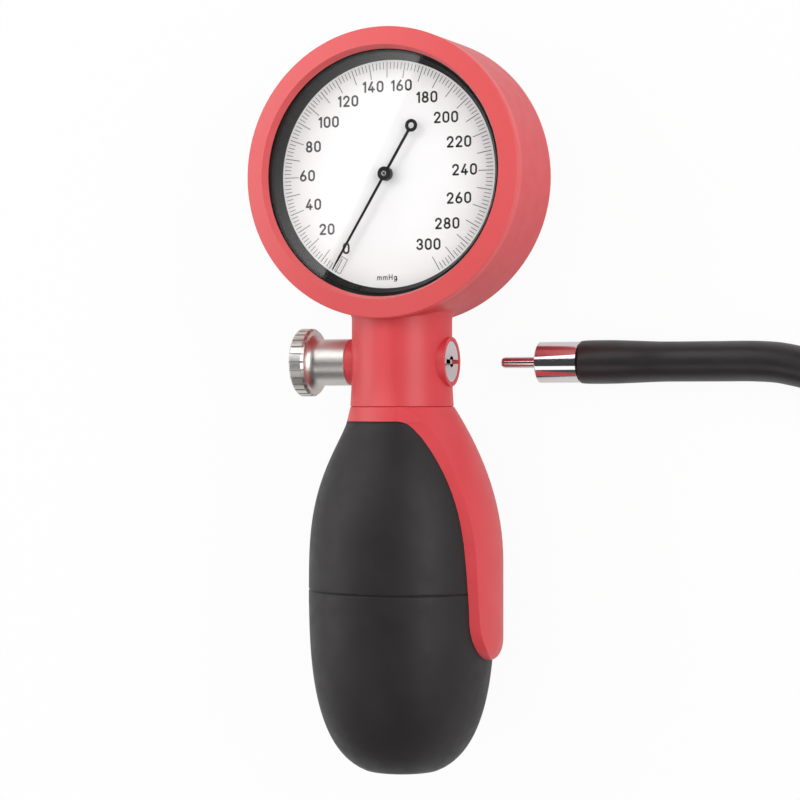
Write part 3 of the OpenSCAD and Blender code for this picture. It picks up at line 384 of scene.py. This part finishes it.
def make_materials():
    made = {
        "bezel_painted_light_plastic": housing_plastic(),
        "red_plastic": moulded_plastic("red_plastic", RED, RED_ROUGHNESS),
        "black_plastic": moulded_plastic("black_plastic", (0.011,) * 3, 0.30, spec=0.03),
        "grey_plastic": moulded_plastic("grey_plastic", (0.05, 0.05, 0.053), 0.5),
        "clear_lens": glass("clear_lens", (1.0, 1.0, 1.0)),
        "dial_white": moulded_plastic("dial_white", (0.93, 0.93, 0.93), 0.55, grain=2e-6),
        "pointer_black": moulded_plastic("pointer_black", (0.012,) * 3, 0.42, grain=2e-6, spec=0.2),
        "brass": turned_metal("brass", (0.62, 0.43, 0.17), 0.25, "z"),
        "capsule_bronze": turned_metal("capsule_bronze", (0.58, 0.36, 0.20), 0.3, "z"),
        "steel": turned_metal("steel", (0.60, 0.60, 0.61), 0.22, "z"),
        "spring_bronze": turned_metal("spring_bronze", (0.42, 0.42, 0.50), 0.2, "z"),
        "clear_tube": moulded_plastic("clear_tube", (0.72, 0.72, 0.68), 0.3),
        "needle_plastic": moulded_plastic("needle_plastic", (0.78, 0.78, 0.75), 0.35),
        "disc_rubber": rubber("disc_rubber", (0.17, 0.02, 0.016), 0.6),
        "seal_rubber": rubber("seal_rubber", (0.015, 0.015, 0.015), 0.6),
        "satin_chrome": turned_metal("satin_chrome", (0.70, 0.68, 0.645), 0.37, "x", 6e-7),
        "bright_chrome": turned_metal("bright_chrome", (0.80, 0.80, 0.81), 0.08, "x", 6e-7),
        "bulb_rubber": rubber("bulb_rubber", (0.0200, 0.0172, 0.0182), 0.50),
        "hose_rubber": rubber("hose_rubber", (0.0175, 0.0145, 0.0165), 0.38, spec=0.6,
                              stretch=(0.15, 1, 1)),
        # Dark ink for the dial print, also used for the painted shade dot on the shaft's end.
        "print_and_painted_shade_dark": moulded_plastic("print_and_painted_shade_dark", (0.016, 0.015, 0.017), 0.6, grain=1e-6),
        "print_grey": moulded_plastic("print_grey", (0.11, 0.105, 0.115), 0.6, grain=1e-6),
    }
    return {name: m.material for name, m in made.items()}


def dress_nodes(materials):
    """Give each CAD node the material of its slot, and the housing its red plastic with painted
    light on the bezel face.
    """
    slots = {part["node"]: part["material_slot"] for part in frame["record"]["subparts"]}
    # The bezel face's paler red is painted light.
    slots["head_housing"] = "bezel_painted_light_plastic"
    for name, obj in nodes.items():
        for held in obj.material_slots:
            held.material = materials[slots[name]]


# Dial print: strokes of round-ended lines, in letter heights, drawn flat on the dial.
DIGIT_H = 2.55 * MM
DIGIT_STROKE = 0.175
DIGIT_GAP = 0.16
INK_T = 0.02 * MM
SCALE_STEP = 2
SCALE_LONG = 10
SCALE_LABEL = 20
SCALE_END = 300
ZERO_ANGLE = 240
DIAL_R = 26.1 * MM
TICK_OUT = DIAL_R - 0.5 * MM
TICK_LONG = 3.4 * MM
TICK_SHORT = 1.5 * MM
TICK_LONG_HALF = 0.085 * MM
TICK_SHORT_HALF = 0.07 * MM
LABEL_OUT = 21.8 * MM
LABEL_RISE = 0.37 * MM
LABEL_SHIFT = {0: (0, 0.45 * MM), 280: (0.3 * MM, 0), 300: (0.5 * MM, 0)}
UNIT_H = 1.35 * MM
UNIT_STROKE = 0.145
UNIT_GAP = 0.19
UNIT_Y = -23.6 * MM
ZERO_BOX_NEAR = 21.7 * MM
ZERO_BOX_FAR = 25.4 * MM
ZERO_BOX_WIDE = 1.6 * MM
ZERO_BOX_ASIDE = -0.4 * MM
ZERO_BOX_HALF = 0.06 * MM
CAP_ANGLES = (15, 40, 65)


def bow(cx, cy, rx, ry, start, end, steps=14):
    """Part of an ellipse from angle start to end, in degrees."""
    out = []
    for i in range(steps + 1):
        a = math.radians(start + (end - start) * i / steps)
        out.append((cx + rx * math.cos(a), cy + ry * math.sin(a)))
    return out


# Each character has its width and its strokes, as points in letter heights.
LOW, HIGH = 0.07, 0.93
GLYPHS = {
    "0": (0.49, [bow(0.245, LOW + 0.245, 0.245, 0.245, -180, 0)
                 + bow(0.245, HIGH - 0.245, 0.245, 0.245, 0, 180)
                 + [(0, LOW + 0.245)]]),
    "1": (0.20, [[(0.20, LOW), (0.20, HIGH)], [(0.20, HIGH), (0.02, 0.78)]]),
    "2": (0.49, [bow(0.24, 0.69, 0.24, 0.24, 172, -35) + [(0.02, LOW)],
                 [(0.02, LOW), (0.49, LOW)]]),
    "3": (0.47, [bow(0.225, 0.715, 0.215, 0.215, 165, -90),
                 bow(0.225, 0.285, 0.245, 0.215, 90, -165)]),
    "4": (0.52, [[(0.32, HIGH), (0.0, 0.27)], [(0.0, 0.27), (0.52, 0.27)],
                 [(0.36, 0.48), (0.36, LOW)]]),
    "6": (0.49, [bow(0.245, 0.305, 0.245, 0.235, 0, 360, 24),
                 [(0.005, 0.33), (0.03, 0.46), (0.11, 0.62), (0.33, HIGH)]]),
    "8": (0.49, [bow(0.245, 0.285, 0.245, 0.215, 0, 360, 24),
                 bow(0.245, 0.715, 0.205, 0.215, 0, 360, 22)]),
    "m": (0.70, [[(0, LOW), (0, 0.62)], bow(0.175, 0.445, 0.175, 0.175, 180, 0) + [(0.35, LOW)],
                 bow(0.525, 0.445, 0.175, 0.175, 180, 0) + [(0.70, LOW)]]),
    "H": (0.52, [[(0, LOW), (0, HIGH)], [(0.52, LOW), (0.52, HIGH)], [(0, 0.5), (0.52, 0.5)]]),
    "g": (0.44, [bow(0.22, 0.345, 0.22, 0.275, 0, 360, 22),
                 [(0.44, 0.62), (0.44, -0.02)] + bow(0.22, -0.02, 0.22, 0.19, 0, -150, 10)]),
}


def stroke_rings(points, half, low, high):
    """Rectangular rings along a stroke with round ends, in the plane of the dial."""
    flat = [Vector(p) for p in points]
    rings = []

    def ring(centre, ahead, width):
        side = Vector((-ahead.y, ahead.x)) * width
        a, b = centre + side, centre - side
        return [(a.x, a.y, low), (b.x, b.y, low), (b.x, b.y, high), (a.x, a.y, high)]

    first = (flat[1] - flat[0]).normalized()
    final = (flat[-1] - flat[-2]).normalized()
    for angle in CAP_ANGLES:
        a = math.radians(angle)
        rings.append(ring(flat[0] - first * half * math.cos(a), first, half * math.sin(a)))
    for i, point in enumerate(flat):
        before = (point - flat[i - 1]).normalized() if i else first
        after = (flat[i + 1] - point).normalized() if i < len(flat) - 1 else final
        ahead = (before + after).normalized()
        rings.append(ring(point, ahead, half / max(0.5, ahead.dot(after))))
    for angle in reversed(CAP_ANGLES):
        a = math.radians(angle)
        rings.append(ring(flat[-1] + final * half * math.cos(a), final, half * math.sin(a)))
    return rings


def add_strokes(name, strokes, material):
    """One piece of flat ink on the dial from strokes: (points, half width)."""
    verts, faces = [], []
    for points, half in strokes:
        v, f = rings_to_mesh(stroke_rings(points, half, DIAL_Z, DIAL_Z + INK_T))
        faces += [tuple(i + len(verts) for i in face) for face in f]
        verts += v
    add_mesh(name, verts, faces, material, smooth=False)


def word_strokes(word, height, stroke, gap, centre):
    """Strokes of a word centred on a point, and the word's width."""
    widths = [GLYPHS[c][0] + DIGIT_STROKE for c in word]
    total = sum(widths) + gap * (len(word) - 1)
    x = -total / 2
    out = []
    for c, width in zip(word, widths):
        for points in GLYPHS[c][1]:
            placed = [(centre[0] + height * (x + DIGIT_STROKE / 2 + p[0]),
                       centre[1] + height * (p[1] - 0.5)) for p in points]
            out.append((placed, height * stroke / 2))
        x += width + gap
    return out, total * height


def polar(radius, degrees):
    a = math.radians(degrees)
    return (radius * math.cos(a), radius * math.sin(a))


def make_dial_print(materials):
    ticks, labels = [], []
    for value in range(0, SCALE_END + 1, SCALE_STEP):
        angle = ZERO_ANGLE - value
        is_long = value % SCALE_LONG == 0
        length = TICK_LONG if is_long else TICK_SHORT
        half = TICK_LONG_HALF if is_long else TICK_SHORT_HALF
        ticks.append(([polar(TICK_OUT - length, angle), polar(TICK_OUT, angle)], half))
        if value % SCALE_LABEL:
            continue
        word = str(value)
        width = word_strokes(word, DIGIT_H, DIGIT_STROKE, DIGIT_GAP, (0, 0))[1]
        reach = (abs(math.cos(math.radians(angle))) * width
                 + abs(math.sin(math.radians(angle))) * DIGIT_H) / 2
        x, y = polar(LABEL_OUT - reach, angle)
        dx, dy = LABEL_SHIFT.get(value, (0, 0))
        centre = (x + dx, y + dy + LABEL_RISE)
        labels += word_strokes(word, DIGIT_H, DIGIT_STROKE, DIGIT_GAP, centre)[0]
    add_strokes("dial_ticks", ticks, materials["print_grey"])
    unit = word_strokes("mmHg", UNIT_H, UNIT_STROKE, UNIT_GAP, (0, UNIT_Y))[0]
    add_strokes("dial_numbers", labels + unit, materials["print_and_painted_shade_dark"])
    make_zero_box(materials["print_grey"])


def make_zero_box(material):
    """The box that the pointer's tip rests in, beside the scale's zero mark."""
    along, across = Vector(polar(1, ZERO_ANGLE)), Vector(polar(1, ZERO_ANGLE + 90))
    near, far = along * ZERO_BOX_NEAR, along * ZERO_BOX_FAR
    one, other = across * ZERO_BOX_ASIDE, across * (ZERO_BOX_WIDE + ZERO_BOX_ASIDE)
    corners = [near + one, far + one, far + other, near + other]
    edges = [([corners[i], corners[(i + 1) % 4]], ZERO_BOX_HALF) for i in range(4)]
    add_strokes("zero_box", edges, material)


# Painted shade: a flat dark disc on the end of the pointer's shaft, at the dial's centre, in place
# of the shade in a dimple.
SHADE_DOT_R = 0.28 * MM
SHADE_DOT_SIDES = 24


def make_dimple(material):
    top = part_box("pinion_arbor")[1].z
    angles = [2 * math.pi * k / SHADE_DOT_SIDES for k in range(SHADE_DOT_SIDES)]
    rings = [[(SHADE_DOT_R * math.cos(a), SHADE_DOT_R * math.sin(a), z) for a in angles]
             for z in (top - INK_T, top + INK_T)]
    verts, faces = rings_to_mesh(rings)
    add_mesh("shaft_painted_shade_dot", verts, faces, material, body="pointer_shaft",
             smooth=False)


# Squeeze bulb: its outline is worked out below from the neck joint, as t = 0 there.
BULB_TOP_T = -3.5
BULB_END_T = -85.3
BULB_R = (bulb_high.z - bulb_low.z) / 2 / MM
BULB_TOP_R = 12.8
BULB_WAIST_T = -46
BULB_ROUND_T = -37.1
SHOULDER_LEAN = 1.25
SHOULDER_POWER = 3.9
END_POWER = 3.15
END_ROOT = 2.8
END_MARGIN = 0.35
BULB_STEPS = 110
BULB_SIDES = 192
BULB_WALL = 2.4
CAP_RECESS_R = 8.25
CAP_BORE_R = 5.2
NECK_STEP_R = 9.2
NECK_STEP_T = -7.2
NECK_BORE_R = 8.1

# Mould line: a fine groove with rounded lips, as steps along and inwards.
MOULD_LINE_T = -42.5
MOULD_LINE_CLEAR = 0.7
MOULD_LINE = ((0.55, 0), (0.32, -0.01), (0.2, -0.06), (0.1, -0.26), (0, -0.32),
              (-0.1, -0.26), (-0.2, -0.06), (-0.32, -0.01), (-0.55, 0))


def bulb_radius(t):
    """Radius of the bulb in millimetres, t millimetres along from the neck joint."""
    if t > BULB_WAIST_T:
        share = 1 - (BULB_TOP_T - t) / (BULB_TOP_T - BULB_WAIST_T)
        rise = 1 - (1 - (1 - share) ** SHOULDER_LEAN) ** SHOULDER_POWER
        return BULB_TOP_R + (BULB_R - BULB_TOP_R) * rise
    length = BULB_ROUND_T - BULB_END_T + END_MARGIN
    end = (1 - ((BULB_ROUND_T - t) / length) ** END_POWER) ** (1 / END_ROOT)
    return min(BULB_R, BULB_R * end)


def bulb_profile():
    """The bulb's section, as (radius, t) in millimetres: outside, recess and inner wall."""
    cap_t = BULB_END_T + 1
    profile = []
    for i in range(BULB_STEPS + 1):
        t = BULB_TOP_T + (cap_t - BULB_TOP_T) * i / BULB_STEPS
        if abs(t - MOULD_LINE_T) > MOULD_LINE_CLEAR:
            profile.append((bulb_radius(t), t))
    for dt, dr in MOULD_LINE:
        profile.append((bulb_radius(MOULD_LINE_T + dt) + dr, MOULD_LINE_T + dt))
    profile.sort(key=lambda p: -p[1])
    edge_r = profile[-1][0]
    recess = [(edge_r - 0.25, cap_t + 0.02), (CAP_RECESS_R, cap_t + 0.25),
              (CAP_RECESS_R, cap_t + 0.9), (CAP_BORE_R, cap_t + 0.9), (CAP_BORE_R, cap_t + 2.4)]
    inner = [(bulb_radius(t) - BULB_WALL, t) for t in range(-80, -14, 6)]
    neck = [(NECK_STEP_R, NECK_STEP_T), (NECK_BORE_R, NECK_STEP_T), (NECK_BORE_R, BULB_TOP_T)]
    return profile + recess + inner + neck


def bulb_ring(radius, t):
    out = []
    for k in range(BULB_SIDES):
        a = 2 * math.pi * k / BULB_SIDES
        out.append((radius * MM * math.cos(a), JOINT_Y + t * MM,
                    AXIS_Z + radius * MM * math.sin(a)))
    return out


def make_bulb(material):
    rings = [bulb_ring(radius, t) for radius, t in bulb_profile()]
    verts, faces = rings_to_mesh(rings, closed_path=True)
    bulb = add_mesh("bulb", verts, faces, material)
    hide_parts("squeeze_bulb")


# Floor, world and lights.
FLOOR_SIZE = 6.0
FLOOR_DROP = 0.05 * MM
FLOOR_WHITE = 0.80
FLOOR_SEEN_WHITE = 0.94
FLOOR_GLOSS_WHITE = 0.3


def white_floor_material():
    """Matt white floor. The camera sees most of it as plain white, with a faint shadow left."""
    m = Material("floor", (FLOOR_WHITE,) * 3, roughness=0.9)
    m.set("Specular IOR Level", 0.0)
    m.vary_color(scale=3, share=0.01)
    paths = m.node("ShaderNodeLightPath")
    seen = m.node("ShaderNodeMath", operation="MAXIMUM")
    m.link(paths.outputs["Is Camera Ray"], seen.inputs[0])
    m.link(paths.outputs["Is Transmission Ray"], seen.inputs[1])
    share = m.node("ShaderNodeMapRange")
    share.inputs["To Max"].default_value = FLOOR_SEEN_WHITE
    m.link(seen.outputs[0], share.inputs["Value"])
    glossy = m.node("ShaderNodeMath", operation="MULTIPLY_ADD")
    glossy.inputs[1].default_value = FLOOR_GLOSS_WHITE
    m.link(paths.outputs["Is Glossy Ray"], glossy.inputs[0])
    m.link(share.outputs["Result"], glossy.inputs[2])
    glow = m.node("ShaderNodeEmission", Strength=1.0)
    mix = m.node("ShaderNodeMixShader")
    m.link(glossy.outputs[0], mix.inputs[0])
    m.link(m.shader.outputs[0], mix.inputs[1])
    m.link(glow.outputs[0], mix.inputs[2])
    m.link(mix.outputs[0], m.tree.nodes["Material Output"].inputs["Surface"])
    return m.material


def make_floor():
    half = FLOOR_SIZE / 2
    mesh = bpy.data.meshes.new("floor")
    mesh.from_pydata([(-half, -half, 0), (half, -half, 0), (half, half, 0), (-half, half, 0)],
                     [], [(0, 1, 2, 3)])
    mesh.materials.append(white_floor_material())
    floor = bpy.data.objects.new("floor", mesh)
    bpy.context.scene.collection.objects.link(floor)
    floor.location.z = -FLOOR_DROP


# The world's strength as fill light, and as gloss and glass see it between two heights.
WORLD_FILL = 0.44
WORLD_HORIZON = 0.28
WORLD_OVERHEAD = 0.06
WORLD_LOW, WORLD_HIGH = 0.10, 0.60


def make_world():
    """White to the camera; in gloss and glass brighter near the horizon; plain fill otherwise."""
    world = bpy.data.worlds.new("studio")
    bpy.context.scene.world = world
    world.use_nodes = True
    tree = world.node_tree
    tree.nodes.clear()
    link = tree.links.new

    def larger(one, other):
        node = new_node(tree, "ShaderNodeMath", operation="MAXIMUM")
        link(one, node.inputs[0])
        link(other, node.inputs[1])
        return node.outputs[0]

    place = new_node(tree, "ShaderNodeTexCoord")
    parts = new_node(tree, "ShaderNodeSeparateXYZ")
    link(place.outputs["Generated"], parts.inputs[0])
    height = new_node(tree, "ShaderNodeMapRange")
    map_range(height, WORLD_HORIZON, WORLD_OVERHEAD, WORLD_LOW, WORLD_HIGH)
    link(parts.outputs["Z"], height.inputs["Value"])
    rays = new_node(tree, "ShaderNodeLightPath").outputs
    seen = larger(larger(rays["Is Camera Ray"], rays["Is Glossy Ray"]), rays["Is Transmission Ray"])
    fill = new_node(tree, "ShaderNodeBackground", Color=WHITE, Strength=WORLD_FILL)
    view = new_node(tree, "ShaderNodeBackground", Color=WHITE)
    link(larger(height.outputs["Result"], rays["Is Camera Ray"]), view.inputs["Strength"])
    mix = new_node(tree, "ShaderNodeMixShader")
    link(seen, mix.inputs[0])
    link(fill.outputs[0], mix.inputs[1])
    link(view.outputs[0], mix.inputs[2])
    out = new_node(tree, "ShaderNodeOutputWorld")
    link(mix.outputs[0], out.inputs["Surface"])


# Lamps and cards stand around this point.
STUDIO_CENTRE = Vector((0, -0.02, 0.03))


def studio_frame(azimuth, elevation, roll, distance):
    """Place and turn of a panel that faces the object, from its direction in degrees.

    Azimuth runs from the dial's normal towards +X, and elevation towards the dial's top.
    """
    a, e, r = (math.radians(v) for v in (azimuth, elevation, roll))
    back = Vector((math.sin(a) * math.cos(e), math.sin(e), math.cos(a) * math.cos(e)))
    level = Vector((math.cos(a), 0, -math.sin(a)))
    rise = back.cross(level)
    up = math.cos(r) * rise + math.sin(r) * level
    turn = Matrix((up.cross(back), up, back)).transposed().to_4x4()
    return Matrix.Translation(STUDIO_CENTRE + back * distance) @ turn


def softbox(name, azimuth, elevation, roll, distance, width, height, radiance):
    """Area light that shows up in a mirror at the given strength, where 1 is white."""
    data = bpy.data.lights.new(name, "AREA")
    data.shape = "RECTANGLE"
    data.size = width
    data.size_y = height
    data.energy = radiance * math.pi * width * height
    light = bpy.data.objects.new(name, data)
    bpy.context.scene.collection.objects.link(light)
    light.matrix_world = studio_frame(azimuth, elevation, roll, distance)


def reflector_card(name, azimuth, elevation, roll, distance, width, height, radiance):
    """Glowing card that the camera doesn't see, brightest along its right edge."""
    mesh = bpy.data.meshes.new(name)
    x, y = width / 2, height / 2
    mesh.from_pydata([(-x, -y, 0), (x, -y, 0), (x, y, 0), (-x, y, 0)], [], [(0, 1, 2, 3)])
    m = Material(name, (0, 0, 0), roughness=1.0)
    parts = m.node("ShaderNodeSeparateXYZ")
    m.link(m.place, parts.inputs[0])
    glow = m.node("ShaderNodeEmission")
    m.link(m.remap(parts.outputs["X"], 0, radiance, -x, x), glow.inputs["Strength"])
    m.link(glow.outputs[0], m.tree.nodes["Material Output"].inputs["Surface"])
    mesh.materials.append(m.material)
    card = bpy.data.objects.new(name, mesh)
    bpy.context.scene.collection.objects.link(card)
    card.matrix_world = studio_frame(azimuth, elevation, roll, distance)
    card.visible_camera = False
    card.visible_shadow = False


# Name, azimuth, elevation, roll, distance, width, height and radiance. The card's right
# edge is the slanting light line that the lens shows.
SOFTBOXES = (
    ("left_softbox", -62, 10, 12, 1.0, 0.62, 1.2, 2.35),
    ("right_softbox", 52, 10, -6, 1.0, 0.62, 1.2, 3.0),
    ("top_softbox", -30, 36, 8, 1.05, 0.50, 0.76, 1.7),
    ("low_softbox", -20, -34, 0, 1.0, 0.44, 0.36, 1.2),
)
LENS_CARD = ("lens_card", -18.6, 20.3, 24.4, 1.245, 0.10, 1.27, 2.0)


def make_lights():
    for box in SOFTBOXES:
        softbox(*box)
    reflector_card(*LENS_CARD)


def main():
    make_camera()
    materials = make_materials()
    make_hose(materials["hose_rubber"])
    dress_nodes(materials)
    make_bulb(materials["bulb_rubber"])
    make_dial_print(materials)
    # A painted shade dot in dark ink on the shaft's end.
    make_dimple(materials["print_and_painted_shade_dark"])
    make_floor()
    make_world()
    make_lights()
    bpy.context.scene.view_settings.view_transform = "Standard"


main()
